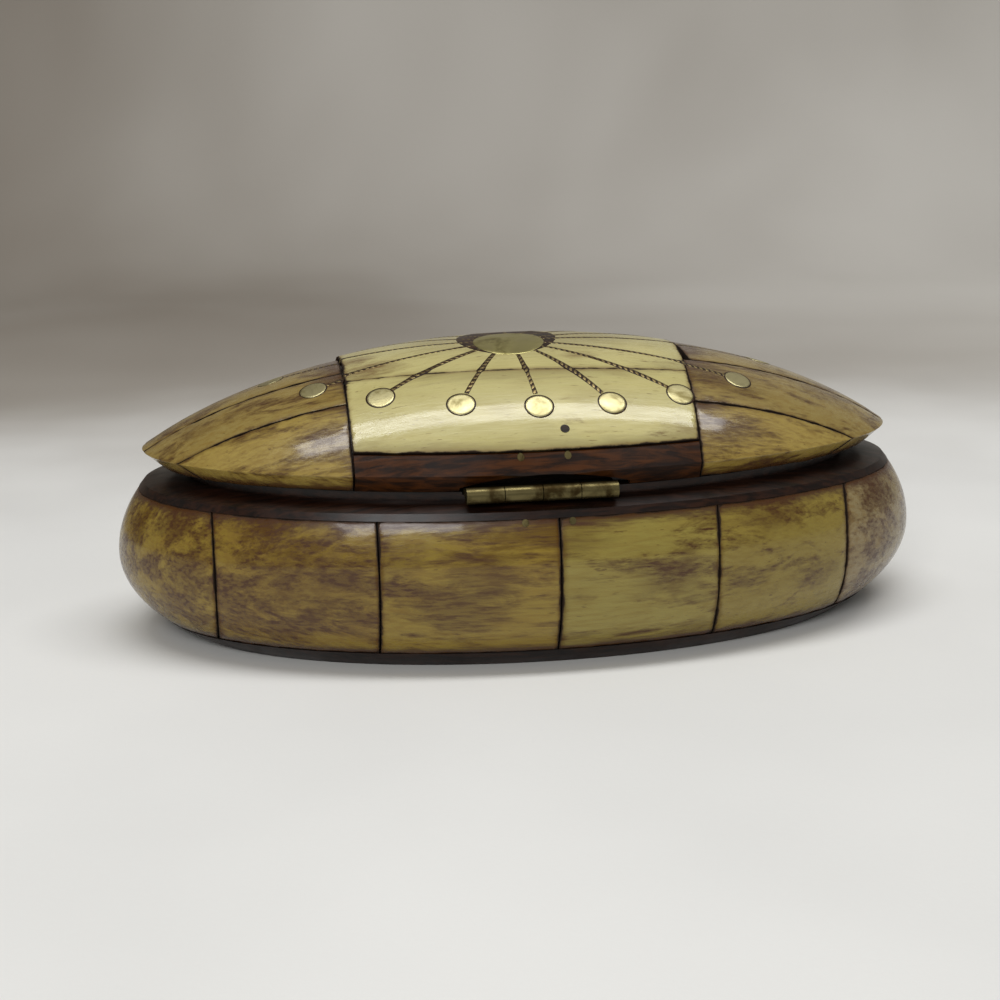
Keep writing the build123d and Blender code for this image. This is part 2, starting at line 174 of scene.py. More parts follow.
def object_from(bm, name, material, body):
    """Make a finished piece of a mesh: smooth, riding on its body."""
    mesh = bpy.data.meshes.new(name)
    bm.to_mesh(mesh)
    bm.free()
    mesh.shade_smooth()
    piece = bpy.data.objects.new(name, mesh)
    bpy.context.scene.collection.objects.link(piece)
    mesh.materials.append(material)
    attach(piece, body)
    return piece


def clean_border(bm):
    """Merge points that a cut left almost on top of each other along the border."""
    near = {other for v in bm.verts if v.is_boundary for e in v.link_edges for other in e.verts}
    bmesh.ops.remove_doubles(bm, verts=list(near), dist=MERGE_DISTANCE * MM)
    bmesh.ops.dissolve_degenerate(bm, edges=bm.edges, dist=0.01 * MM)


def edge_wear(bm, chip, seed):
    """Store how near each point is to the edge and to the foot or top, and wear the edge."""
    layer = bm.verts.layers.float.new("edge")
    rim = bm.verts.layers.float.new("rim")
    low = min(v.co.z for v in bm.verts)
    high = max(v.co.z for v in bm.verts)
    bm.normal_update()
    border = [v.co.copy() for v in bm.verts if v.is_boundary]
    tree = kdtree.KDTree(len(border))
    for index, place in enumerate(border):
        tree.insert(place, index)
    tree.balance()
    shift = Vector((seed * 7.3, seed * 3.1, seed * 5.7))
    moves = []
    for v in bm.verts:
        distance = tree.find(v.co)[2] / MM
        v[layer] = exp(-distance / EDGE_REACH)
        v[rim] = exp(-min(v.co.z - low, high - v.co.z) / (RIM_REACH * MM))
        rough = noise.noise(v.co / (ROUGH_SIZE * MM) + shift)
        wavy = noise.noise(v.co / (WAVE_SIZE * MM) + shift)
        sink = chip * exp(-distance / CHIP_REACH) * (CHIP_LEVEL + rough)
        moves.append((v, v.normal * (-sink - SINK - WAVE * wavy) * MM))
    for v, move in moves:
        v.co += move


def thicken(piece, thickness, round_edge):
    """Give a skin its thickness inwards and round its edges a little."""
    wall = piece.modifiers.new("thickness", "SOLIDIFY")
    wall.thickness = thickness * MM
    wall.offset = -1
    rounding = piece.modifiers.new("worn edge", "BEVEL")
    rounding.width = round_edge * MM
    rounding.segments = 3
    rounding.limit_method = "ANGLE"
    rounding.angle_limit = CREASE_ANGLE


print("spin steps", STEPS)

# %% [markdown]
# ## Shared effects
# Bone, wood and brass all carry stains, streaks and grime, so these are node groups
# with named sockets. The groups give out masks only, and each material mixes its own
# colours with them. All of them read Object coordinates, so nothing slides or stretches.

# %% Node helpers


def new_group(name, inputs, outputs):
    """An empty shader node group with float or vector sockets."""
    group = bpy.data.node_groups.new(name, "ShaderNodeTree")
    for label, kind, value in inputs:
        socket = group.interface.new_socket(label, in_out="INPUT", socket_type=kind)
        if value is not None:
            socket.default_value = value
    for label in outputs:
        group.interface.new_socket(label, in_out="OUTPUT", socket_type="NodeSocketFloat")
    return group, group.nodes.new("NodeGroupInput"), group.nodes.new("NodeGroupOutput")


def add_noise(tree, vector, scale, detail=6.0, roughness=0.55, distortion=0.0):
    """A noise texture on a vector, giving its value."""
    node = tree.nodes.new("ShaderNodeTexNoise")
    node.inputs["Scale"].default_value = scale
    node.inputs["Detail"].default_value = detail
    node.inputs["Roughness"].default_value = roughness
    node.inputs["Distortion"].default_value = distortion
    tree.links.new(vector, node.inputs["Vector"])
    return node.outputs["Fac"]


def stretch(tree, vector, scale, offset=(0, 0, 0)):
    """A vector stretched by a scale for each axis."""
    node = tree.nodes.new("ShaderNodeMapping")
    node.inputs["Scale"].default_value = scale
    node.inputs["Location"].default_value = offset
    tree.links.new(vector, node.inputs["Vector"])
    return node.outputs["Vector"]


def span(tree, value, low, high, to_low=0.0, to_high=1.0):
    """A value mapped smoothly from one span to another."""
    node = tree.nodes.new("ShaderNodeMapRange")
    node.interpolation_type = "SMOOTHSTEP"
    node.inputs["From Min"].default_value = low
    node.inputs["From Max"].default_value = high
    node.inputs["To Min"].default_value = to_low
    node.inputs["To Max"].default_value = to_high
    tree.links.new(value, node.inputs["Value"])
    return node.outputs["Result"]


def math(tree, operation, first, second):
    """One sum, product or the like of two sockets or numbers."""
    node = tree.nodes.new("ShaderNodeMath")
    node.operation = operation
    for socket, value in zip(node.inputs, (first, second)):
        if isinstance(value, (int, float)):
            socket.default_value = value
        else:
            tree.links.new(value, socket)
    return node.outputs[0]


def mix(tree, factor, first, second):
    """Two colours mixed by a mask."""
    node = tree.nodes.new("ShaderNodeMix")
    node.data_type = "RGBA"
    sockets = (node.inputs[0], node.inputs[6], node.inputs[7])
    for socket, value in zip(sockets, (factor, first, second)):
        if isinstance(value, (int, float)):
            socket.default_value = value
        elif isinstance(value, tuple):
            socket.default_value = (*value, 1.0)
        else:
            tree.links.new(value, socket)
    return node.outputs[2]


print("node helpers ready")

# %% [markdown]
# ## Masks of polished bone
# Fibres run along the plate, stains soak in beside them, and fine pores show as dark dashes.

# %% Bone group


def bone_group():
    """Masks of polished bone: fibres, stains, clouds, pores and relief."""
    inputs = [
        ("Vector", "NodeSocketVector", None),
        ("Offset", "NodeSocketVector", (0, 0, 0)),
        ("Stain level", "NodeSocketFloat", 0.5),
    ]
    outputs = ["Fibres", "Stains", "Clouds", "Pores", "Cells", "Relief"]
    group, source, result = new_group("bone masks", inputs, outputs)
    shifted = group.nodes.new("ShaderNodeVectorMath")
    group.links.new(source.outputs["Vector"], shifted.inputs[0])
    group.links.new(source.outputs["Offset"], shifted.inputs[1])
    place = shifted.outputs[0]
    fine = add_noise(group, stretch(group, place, (1, 14, 14)), 110, 5, 0.65)
    broad = add_noise(group, stretch(group, place, (1, 8, 8)), 45, 7, 0.68, 0.5)
    cloud = add_noise(group, stretch(group, place, (1, 2.6, 2.6)), 44, 6, 0.65, 0.9)
    pore = add_noise(group, stretch(group, place, (1, 9, 9)), 320, 2, 0.5)
    cells = group.nodes.new("ShaderNodeTexVoronoi")
    cells.feature = "SMOOTH_F1"
    cells.inputs["Scale"].default_value = 210
    wobble = group.nodes.new("ShaderNodeVectorMath")
    wobble.operation = "MULTIPLY_ADD"
    wobble.inputs[1].default_value = (0.006, 0.006, 0.006)
    group.links.new(broad, wobble.inputs[0])
    group.links.new(stretch(group, place, (0.6, 1, 1)), wobble.inputs[2])
    group.links.new(wobble.outputs[0], cells.inputs["Vector"])
    group.links.new(span(group, cells.outputs["Distance"], 0.25, 0.62), result.inputs["Cells"])
    broad_share = math(group, "MULTIPLY", broad, 0.55)
    soaked = math(group, "ADD", broad_share, math(group, "MULTIPLY", cloud, 0.45))
    threshold = math(group, "SUBTRACT", 0.72, math(group, "MULTIPLY", source.outputs[2], 0.4))
    level = math(group, "SUBTRACT", soaked, threshold)
    group.links.new(span(group, fine, 0.38, 0.66), result.inputs["Fibres"])
    group.links.new(span(group, level, -0.04, 0.08), result.inputs["Stains"])
    group.links.new(span(group, cloud, 0.35, 0.68), result.inputs["Clouds"])
    group.links.new(span(group, pore, 0.66, 0.74), result.inputs["Pores"])
    fine_share = math(group, "MULTIPLY", fine, 0.6)
    relief = math(group, "ADD", fine_share, math(group, "MULTIPLY", broad, 0.4))
    group.links.new(relief, result.inputs["Relief"])
    return group


BONE = bone_group()
print("bone group has", len(BONE.nodes), "nodes")

# %% [markdown]
# ## Grime along the edges
# Old polish and dirt gather along the edges, in an uneven line.

# %% Grime group


def grime_group():
    """Grime along the plate edges, from the edge attribute and noise."""
    inputs = [("Vector", "NodeSocketVector", None), ("Edge", "NodeSocketFloat", 0.0)]
    group, source, result = new_group("edge grime", inputs, ["Line", "Halo"])
    patchy = add_noise(group, source.outputs["Vector"], 260, 4, 0.6)
    wide = add_noise(group, source.outputs["Vector"], 70, 4, 0.6)
    line = math(group, "ADD", source.outputs["Edge"], math(group, "MULTIPLY", patchy, 0.9))
    halo = math(group, "ADD", source.outputs["Edge"], math(group, "MULTIPLY", wide, 1.3))
    group.links.new(span(group, line, 1.18, 1.46), result.inputs["Line"])
    group.links.new(span(group, halo, 0.95, 1.65), result.inputs["Halo"])
    return group


GRIME = grime_group()
print("grime group has", len(GRIME.nodes), "nodes")

# %% [markdown]
# ## Single stains
# Some stains have a fixed place: each is a soft ragged spot round one point, drawn out along X.

# %% Stain spot group


def spot_group():
    """Mask of one ragged spot round a place."""
    inputs = [
        ("Vector", "NodeSocketVector", None),
        ("Place", "NodeSocketVector", (0, 0, 0)),
        ("Reach", "NodeSocketFloat", 0.005),
    ]
    group, source, result = new_group("stain spot", inputs, ["Mask"])
    apart = group.nodes.new("ShaderNodeVectorMath")
    apart.operation = "DISTANCE"
    group.links.new(stretch(group, source.outputs["Vector"], (0.5, 1, 1)), apart.inputs[0])
    group.links.new(stretch(group, source.outputs["Place"], (0.5, 1, 1)), apart.inputs[1])
    streaks = add_noise(group, stretch(group, source.outputs["Vector"], (1, 5, 5)), 90, 6, 0.7, 0.6)
    share = math(group, "DIVIDE", apart.outputs["Value"], source.outputs["Reach"])
    ragged = math(group, "ADD", share, math(group, "MULTIPLY", streaks, 1.8))
    group.links.new(span(group, ragged, 1.9, 1.2), result.inputs["Mask"])
    return group


SPOT = spot_group()
print("stain spot group has", len(SPOT.nodes), "nodes")

# %% [markdown]
# ## Materials
# Bone is mixed from three tones by its masks, and wood from two tones along its grain.
# Old brass is bright where it is rubbed and dull where tarnish stays, and twisted wire gets painted shade
# in its grooves.

# %% Materials


def new_material(name):
    """A material with its principled shader ready."""
    material = bpy.data.materials.new(name)
    material.use_nodes = True
    tree = material.node_tree
    shader = tree.nodes["Principled BSDF"]
    coords = tree.nodes.new("ShaderNodeTexCoord").outputs["Object"]
    return material, tree, shader, coords


def place_group(tree, group):
    """One use of a node group in a material."""
    node = tree.nodes.new("ShaderNodeGroup")
    node.node_tree = group
    return node


def add_bump(tree, shader, height, strength, distance):
    """Relief from a height mask."""
    bump = tree.nodes.new("ShaderNodeBump")
    bump.inputs["Strength"].default_value = strength
    bump.inputs["Distance"].default_value = distance * MM
    tree.links.new(height, bump.inputs["Height"])
    tree.links.new(bump.outputs["Normal"], shader.inputs["Normal"])


RUST_EDGE, GRIME_DARK = (0.055, 0.02, 0.009), (0.018, 0.009, 0.004)
COAT, COAT_ROUGHNESS = 0.45, 0.09


def bone_material(name, tones, seed, fibre_depth, rim_depth, spots):
    """Polished bone with its own tones and its own amount of stain."""
    pale, amber, brown, stain = tones
    material, tree, shader, coords = new_material(name)
    masks = place_group(tree, BONE)
    tree.links.new(coords, masks.inputs["Vector"])
    masks.inputs["Offset"].default_value = (seed * 0.37, seed * 0.11, seed * 0.23)
    masks.inputs["Stain level"].default_value = stain
    grime = place_group(tree, GRIME)
    tree.links.new(coords, grime.inputs["Vector"])
    edge = tree.nodes.new("ShaderNodeAttribute")
    edge.attribute_name = "edge"
    tree.links.new(edge.outputs["Fac"], grime.inputs["Edge"])
    rim = tree.nodes.new("ShaderNodeAttribute")
    rim.attribute_name = "rim"
    fibre = math(tree, "MULTIPLY", masks.outputs["Fibres"], fibre_depth)
    colour = mix(tree, fibre, pale, amber)
    colour = mix(tree, math(tree, "MULTIPLY", masks.outputs["Clouds"], 0.5), colour, amber)
    web = math(tree, "MULTIPLY", masks.outputs["Cells"], masks.outputs["Clouds"])
    lighter = tuple(1.25 * tone for tone in pale)
    colour = mix(tree, math(tree, "MULTIPLY", web, 0.55), colour, lighter)
    streaked = span(tree, masks.outputs["Fibres"], 0.0, 1.0, 0.58, 1.0)
    colour = mix(tree, math(tree, "MULTIPLY", masks.outputs["Stains"], streaked), colour, brown)
    colour = mix(tree, math(tree, "MULTIPLY", masks.outputs["Pores"], 0.6), colour, brown)
    ragged = math(tree, "ADD", rim.outputs["Fac"], math(tree, "MULTIPLY", masks.outputs["Relief"], 0.9))
    colour = mix(tree, span(tree, ragged, 0.85, 1.3, 0.0, rim_depth), colour, RUST_EDGE)
    for place, reach, depth in spots:
        spot = place_group(tree, SPOT)
        tree.links.new(coords, spot.inputs["Vector"])
        spot.inputs["Place"].default_value = place * MM
        spot.inputs["Reach"].default_value = reach * MM
        depth_mask = math(tree, "MULTIPLY", streaked, depth)
        soaked = math(tree, "MULTIPLY", spot.outputs["Mask"], depth_mask)
        colour = mix(tree, soaked, colour, brown)
    colour = mix(tree, math(tree, "MULTIPLY", grime.outputs["Halo"], 0.6), colour, brown)
    colour = mix(tree, grime.outputs["Line"], colour, GRIME_DARK)
    tree.links.new(colour, shader.inputs["Base Color"])
    rough = span(tree, masks.outputs["Fibres"], 0.0, 1.0, 0.26, 0.46)
    tree.links.new(math(tree, "MAXIMUM", rough, grime.outputs["Line"]), shader.inputs["Roughness"])
    tree.links.new(span(tree, grime.outputs["Halo"], 0.1, 0.8, COAT, 0.0), shader.inputs["Coat Weight"])
    shader.inputs["Coat Roughness"].default_value = COAT_ROUGHNESS
    shader.inputs["Specular IOR Level"].default_value = 0.3
    add_bump(tree, shader, masks.outputs["Relief"], 0.5, 0.12)
    return material


def wood_material(name, dark, warm, seed, gloss):
    """Dark stained wood under an old varnish."""
    material, tree, shader, coords = new_material(name)
    along = stretch(tree, coords, (1, 7, 7), (seed, seed * 2, seed * 3))
    grain = add_noise(tree, along, 130, 6, 0.6, 0.6)
    patch = add_noise(tree, coords, 70, 4, 0.6)
    colour = mix(tree, span(tree, grain, 0.35, 0.68), dark, warm)
    colour = mix(tree, span(tree, patch, 0.5, 0.75, 0.0, 0.7), colour, dark)
    tree.links.new(colour, shader.inputs["Base Color"])
    tree.links.new(span(tree, patch, 0.3, 0.7, 0.3, 0.55), shader.inputs["Roughness"])
    shader.inputs["Coat Weight"].default_value = gloss
    shader.inputs["Coat Roughness"].default_value = 0.2
    shader.inputs["Specular IOR Level"].default_value = 0.2
    add_bump(tree, shader, grain, 0.3, 0.12)
    return material


# Nearly black: painted shade in the grooves between the two twisted wires.
GROOVE_SHADE = (0.02, 0.012, 0.005)


def brass_material(name, bright, dull, tarnish, rough_low, rough_high, groove_shade=None):
    """Old brass: bright where it is rubbed, dull where tarnish stays, with painted shade in the grooves
    of twisted wire.
    """
    material, tree, shader, coords = new_material(name)
    blotch = add_noise(tree, coords, 260, 5, 0.6, 0.4)
    scratch = add_noise(tree, stretch(tree, coords, (1, 20, 20)), 190, 3, 0.5)
    mask = span(tree, blotch, 0.62 - tarnish * 0.4, 0.86 - tarnish * 0.4)
    colour = mix(tree, mask, bright, dull)
    # Painted shade: the grooves of the twist are darkened nearly to black.
    if groove_shade:
        twist = tree.nodes.new("ShaderNodeAttribute")
        twist.attribute_name = groove_shade
        colour = mix(tree, span(tree, twist.outputs["Fac"], 0.25, 0.6), GROOVE_SHADE, colour)
    tree.links.new(colour, shader.inputs["Base Color"])
    tree.links.new(span(tree, blotch, 0.3, 0.7, rough_low, rough_high), shader.inputs["Roughness"])
    shader.inputs["Metallic"].default_value = 1.0
    add_bump(tree, shader, scratch, 0.15, 0.05)
    return material


# The carcass tones are darker than the wood itself: painted shade for the deep gap between lid and base,
# where the neck lies under the lid.
CARCASS_WOOD_AND_SHADE = wood_material("carcass wood and painted shade", (0.005, 0.002, 0.001), (0.026, 0.009, 0.004), 0.3, 0.2)
FLOOR_WOOD = wood_material("floor wood", (0.02, 0.01, 0.006), (0.06, 0.028, 0.015), 0.9, 0.2)
STRIP_WOOD = wood_material("strip wood", (0.009, 0.003, 0.001), (0.06, 0.018, 0.003), 1.7, 0.06)
SUN_BRASS = brass_material("sun brass", (0.5, 0.45, 0.24), (0.24, 0.2, 0.08), 0.3, 0.34, 0.52)
RAY_BRASS = brass_material("ray brass", (0.26, 0.2, 0.09), (0.08, 0.055, 0.022), 0.4, 0.35, 0.55, "twist")
MEDALLION_BRASS = brass_material("medallion brass", (0.4, 0.36, 0.15), (0.2, 0.17, 0.06), 0.3, 0.35, 0.5)
HINGE_BRASS = brass_material("hinge brass", (0.14, 0.115, 0.05), (0.035, 0.023, 0.008), 0.6, 0.34, 0.55)
PEG_WOOD = wood_material("peg", (0.008, 0.004, 0.002), (0.02, 0.01, 0.005), 2.2, 0.0)
FILLER = wood_material("dark filler", (0.012, 0.005, 0.002), (0.04, 0.016, 0.006), 2.9, 0.0)
print("materials made", len(bpy.data.materials))

# %% [markdown]
# ## Materials of the CAD nodes that stay
# Carcass, floor, hinge and rivets are already the right shape, so they only get a finish; the carcass
# finish is darkened with painted shade.

# %% Dress the CAD nodes
FINISHES = {
    "base_wall": CARCASS_WOOD_AND_SHADE,
    "lid_core": CARCASS_WOOD_AND_SHADE,
    "base_floor": FLOOR_WOOD,
    "lid_strip_near": STRIP_WOOD,
    "lid_strip_far": STRIP_WOOD,
    "hinge_leaf_base": HINGE_BRASS,
    "hinge_leaf_lid": HINGE_BRASS,
    "hinge_pin": HINGE_BRASS,
    "base_rivets": HINGE_BRASS,
    "lid_rivets": HINGE_BRASS,
    "panel_pin": PEG_WOOD,
}
for node, finish in FINISHES.items():
    frame["nodes"][node].material_slots[0].material = finish
print("nodes dressed", len(FINISHES))

# %% [markdown]
# ## Bone plates of the base
# Four plates on each long side and one round each end. Each was sawn from another bone,
# so every plate gets its own tone: the left ones are browner, the right ones greener.

# %% Base plates
SEAMS = [-57.5, -29.9, 0.8, 29.2, 55.5]
HALF_SEAM = 0.15
BASE_SKIN_GAP, ROUND_EDGE = 0.15, 0.16
PALE, AMBER, BROWN = (0.265, 0.185, 0.026), (0.17, 0.086, 0.004), (0.06, 0.019, 0.001)
PROFILE_ROWS = 44
rows = [BONE_BOTTOM + (BONE_TOP - BONE_BOTTOM) * row / PROFILE_ROWS for row in range(PROFILE_ROWS + 1)]
base_profile = [(base_radius(height), height) for height in rows]
BASE_TONES = {
    "base_bone_end_left": (PALE, AMBER, BROWN, 0.62),
    "base_bone_near_1": ((0.24, 0.16, 0.022), AMBER, BROWN, 0.6),
    "base_bone_near_2": (PALE, AMBER, BROWN, 0.56),
    "base_bone_near_3": ((0.28, 0.225, 0.05), (0.2, 0.13, 0.014), BROWN, 0.48),
    "base_bone_near_4": ((0.26, 0.195, 0.038), (0.18, 0.115, 0.01), BROWN, 0.48),
    "base_bone_end_right": ((0.27, 0.21, 0.1), AMBER, BROWN, 0.6),
    "base_bone_far_1": (PALE, AMBER, BROWN, 0.5),
    "base_bone_far_2": (PALE, AMBER, BROWN, 0.55),
    "base_bone_far_3": (PALE, AMBER, BROWN, 0.45),
    "base_bone_far_4": (PALE, AMBER, BROWN, 0.52),
}


def on_base(x, z, side=-1):
    """A point of the base's outside, on the near side or the far one."""
    return Vector((x, side * sqrt(base_radius(z) ** 2 - (x / BASE_RATIO) ** 2), z))


def on_dome(x, y):
    """A point of the lid's outside."""
    return Vector((x, y, lid_height(x, y)))


# Each spot is a place, how far it reaches in millimetres, and how deep its brown is.
SPOTS = {
    "base_bone_end_left": [
        (on_base(-64, 25), 5, 0.95),
        (on_base(-71, 21), 3, 0.8),
        (on_base(-62, 15), 4, 0.6),
    ],
    "base_bone_near_1": [
        (on_base(-48, 26), 5, 0.9),
        (on_base(-43, 17), 9, 0.5),
        (on_base(-41, 11), 2, 0.8),
    ],
    "base_bone_near_2": [
        (on_base(-17, 12), 6, 0.85),
        (on_base(-13, 18), 5, 0.7),
        (on_base(-27, 21), 4, 0.5),
    ],
    "base_bone_near_3": [
        (on_base(20, 15), 5, 0.5),
        (on_base(4, 24), 4, 0.5),
        (on_base(24, 5), 3, 0.5),
    ],
    "base_bone_near_4": [(on_base(38, 26), 6, 0.7), (on_base(50, 12), 4, 0.5)],
    "base_bone_end_right": [
        (on_base(64, 24), 6, 0.95),
        (on_base(62, 7), 4, 0.6),
        (on_base(71, 16), 3, 0.7),
    ],
    "base_bone_far_1": [(on_base(-44, 24, 1), 6, 0.8), (on_base(-38, 9, 1), 4, 0.6)],
    "base_bone_far_2": [(on_base(-20, 8, 1), 6, 0.8), (on_base(-8, 23, 1), 4, 0.6)],
    "base_bone_far_3": [(on_base(12, 24, 1), 6, 0.7), (on_base(22, 10, 1), 4, 0.6)],
    "base_bone_far_4": [(on_base(46, 22, 1), 6, 0.8), (on_base(36, 7, 1), 4, 0.6)],
    "lid_bone_left_lower_near": [(on_dome(-37, -24), 6, 0.8), (on_dome(-52, -16), 3, 0.5)],
    "lid_bone_left_upper_near": [(on_dome(-35, -9), 4, 0.8), (on_dome(-60, -8), 4, 0.4)],
    "lid_bone_right_lower_near": [(on_dome(32, -26), 5, 0.8), (on_dome(50, -14), 5, 0.6)],
    "lid_bone_right_upper_near": [(on_dome(34, -14), 6, 0.9), (on_dome(56, -8), 5, 0.6)],
    "lid_bone_left_lower_far": [(on_dome(-38, 24), 6, 0.8)],
    "lid_bone_right_lower_far": [(on_dome(36, 24), 6, 0.8)],
    "lid_panel_top": [
        (on_dome(-29, -9), 4, 0.85),
        (on_dome(-31, -4), 3, 0.8),
        (on_dome(9, -12), 2, 0.6),
    ],
    "lid_panel_near": [(on_dome(25, -27), 2, 0.4)],
}


def dress_plate(
    bm, name, tones, seed, slot, body, thickness, chip=0.12, fibre_depth=0.5, rim_depth=0.9
):
    """Wear a plate's edges, give it its own bone, attach it to its body and hide its CAD node."""
    clean_border(bm)
    edge_wear(bm, chip, seed)
    title = name.replace("_", " ")
    material = bone_material(title, tones, seed, fibre_depth, rim_depth, SPOTS.get(name, []))
    piece = object_from(bm, f"{name}_skin", material, body)
    thicken(piece, thickness, ROUND_EDGE)
    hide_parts(name)


BASE_SKIN = spun_skin(base_profile, BASE_RATIO)


def base_plate(name, x_from, x_to, side, seed):
    """One plate of the base between two seams; side 0 goes round the end."""
    bm = BASE_SKIN.copy()
    cut(bm, (x_from, 0, 0), (-1, 0, 0))
    cut(bm, (x_to, 0, 0), (1, 0, 0))
    if side:
        cut(bm, (0, 0, 0), (0, -side, 0))
    thickness = BASE_BONE - BASE_SKIN_GAP
    dress_plate(bm, name, BASE_TONES[name], seed, "base_bone", "base", thickness)


for number, (x_from, x_to) in enumerate(zip(SEAMS, SEAMS[1:]), start=1):
    base_plate(f"base_bone_near_{number}", x_from + HALF_SEAM, x_to - HALF_SEAM, -1, number)
    base_plate(f"base_bone_far_{number}", x_from + HALF_SEAM, x_to - HALF_SEAM, 1, number + 10)
base_plate("base_bone_end_left", -BASE_LENGTH - 1, SEAMS[0] - HALF_SEAM, 0, 21)
base_plate("base_bone_end_right", SEAMS[-1] + HALF_SEAM, BASE_LENGTH + 1, 0, 22)
print("base plates", len(BASE_TONES))

# %% [markdown]
# ## Bone plates of the lid
# The middle column has three pale panels, and each end has five browner, fibrous plates.
# Straight seams are single cuts. The long seam beside the ridge bends a little, so its
# panels are cut in short chords, slice by slice.

# %% Lid skins and seams
DOME_ROWS = 56
NOSE_ROWS = 6


def lid_profile(drop):
    """Half profile of the lid, from its lower edge to the apex."""
    points = []
    for row in range(NOSE_ROWS):
        share = row / NOSE_ROWS
        width = LID_EDGE_WIDTH + (LID_WIDTH - LID_EDGE_WIDTH) * share
        points.append((width, LID_BOTTOM + (NOSE_HEIGHT - LID_BOTTOM) * share))
    for row in range(DOME_ROWS + 1):
        width = LID_WIDTH * (1 - row / DOME_ROWS)
        points.append((width, lid_height(0, width, drop)))
    return points


PANEL_SEAM_LEFT, PANEL_SEAM_MIDDLE, PANEL_SEAM_RIGHT = 11.8, 16.2, 14.5
STRIP_TOP = 38.0
HALF_LID_SEAM = 0.12
LID_THICKNESS = LID_BONE - 0.2
LEFT_ROOT, LEFT_TIP, LEFT_RIDGE = 17.2, 12.6, 6.6
RIGHT_ROOT, RIGHT_TIP, RIGHT_RIDGE = 21.6, 15.9, 9.5
RIDGE_TIP = 2.2
SEAM_SLICES = 10
OLIVE, OCHRE, RUST = (0.33, 0.24, 0.06), (0.2, 0.12, 0.015), (0.065, 0.026, 0.003)
CREAM, HONEY, TAN = (0.5, 0.45, 0.19), (0.37, 0.3, 0.1), (0.14, 0.072, 0.018)


def seam_bow(x):
    """How far from the ridge the seam of the middle column runs, by a parabola."""
    left, right = COLUMN_LEFT, column_edge(PANEL_SEAM_RIGHT)
    middle = (left + right) / 2
    share = (x - left) / (right - left)
    chord = PANEL_SEAM_LEFT + (PANEL_SEAM_RIGHT - PANEL_SEAM_LEFT) * share
    bow = PANEL_SEAM_MIDDLE - (PANEL_SEAM_LEFT + PANEL_SEAM_RIGHT) / 2
    return chord + bow * (1 - ((x - middle) / (right - middle)) ** 2)


COLUMN_SKIN = spun_skin(lid_profile(0.0), LID_RATIO)
END_DROPS = {-1: LEFT_DROP, 1: RIGHT_DROP}
END_SKINS = {end: spun_skin(lid_profile(drop), LID_RATIO) for end, drop in END_DROPS.items()}


def column_skin():
    """Skin of the middle column, cut at its left edge."""
    bm = COLUMN_SKIN.copy()
    cut(bm, (COLUMN_LEFT + HALF_LID_SEAM, 0, 0), (-1, 0, 0))
    return bm


def seam_stops():
    """Where the chords of the bent seam meet."""
    width = column_edge(PANEL_SEAM_RIGHT) - COLUMN_LEFT
    return [COLUMN_LEFT + width * stop / SEAM_SLICES for stop in range(SEAM_SLICES + 1)]


def panel_seam(x):
    """The bent seam as chords, so that cuts and tests agree exactly."""
    stops = seam_stops()
    x = min(max(x, stops[0]), stops[-1] + 2)
    slot = min(int((x - stops[0]) / (stops[1] - stops[0])), SEAM_SLICES - 1)
    start, end = seam_bow(stops[slot]), seam_bow(stops[slot + 1])
    return start + (end - start) * (x - stops[slot]) / (stops[1] - stops[0])


def cut_right_edge(bm, side):
    """Cut one half of the column along its slanting right edge."""
    along = Vector((COLUMN_RIGHT_FOOT - COLUMN_RIGHT, side * LID_WIDTH, 0)).normalized()
    away = Vector((side * along.y, -side * along.x, 0))
    cut(bm, Vector((COLUMN_RIGHT, 0, 0)) - away * HALF_LID_SEAM, away)


def split_by_seam(bm, side):
    """Cut the bent seam into a skin chord by chord, deleting nothing."""
    stops = seam_stops()
    for x in stops[1:-1]:
        place = (x * MM, 0, 0)
        bmesh.ops.bisect_plane(bm, geom=everything(bm), plane_co=place, plane_no=(1, 0, 0))
    for x_from, x_to in zip(stops, stops[1:]):
        low = -1e9 if x_from == stops[0] else x_from * MM
        high = 1e9 if x_to == stops[-1] else x_to * MM
        middles = [(f, f.calc_center_median()) for f in bm.faces]
        faces = [f for f, middle in middles if low < middle.x < high and middle.y * side > 0]
        edges = {e for f in faces for e in f.edges}
        verts = {v for f in faces for v in f.verts}
        slope = (seam_bow(x_to) - seam_bow(x_from)) * side / (x_to - x_from)
        bmesh.ops.bisect_plane(
            bm,
            geom=list(verts) + list(edges) + faces,
            plane_co=(x_from * MM, side * seam_bow(x_from) * MM, 0),
            plane_no=Vector((-slope, 1, 0)).normalized(),
        )


def keep_faces(bm, test):
    """Delete the faces whose middle fails a test of its place in millimetres."""
    doomed = [f for f in bm.faces if not test(f.calc_center_median() / MM)]
    bmesh.ops.delete(bm, geom=doomed, context="FACES")


def end_plate(name, lines, tones, seed, side, end):
    """One plate of a lid end, bounded by seam lines of the plan."""
    bm = END_SKINS[end].copy()
    if end < 0:
        cut(bm, (COLUMN_LEFT - HALF_LID_SEAM, 0, 0), (1, 0, 0))
    else:
        slant = Vector((LID_WIDTH, COLUMN_RIGHT - COLUMN_RIGHT_FOOT, 0)).normalized()
        for half in (-1, 1):
            if side in (0, half):
                cut(bm, (COLUMN_RIGHT + HALF_LID_SEAM, 0, 0), (-slant.x, -slant.y * half, 0))
    for (start, finish), keep in lines:
        along = Vector((finish[0] - start[0], finish[1] - start[1], 0)).normalized()
        away = Vector((-along.y, along.x, 0))
        if away.y * keep > 0:
            away = -away
        cut(bm, Vector((start[0], start[1], 0)) - away * HALF_LID_SEAM, away)
    dress_plate(bm, name, tones, seed, "end_bone", "lid", LID_THICKNESS, chip=0.16, fibre_depth=0.75)


print("seam chords", SEAM_SLICES)

# %% [markdown]
# ## Middle column of the lid
# The near and far panels stand on the wood strips, and the top panel lies between them.

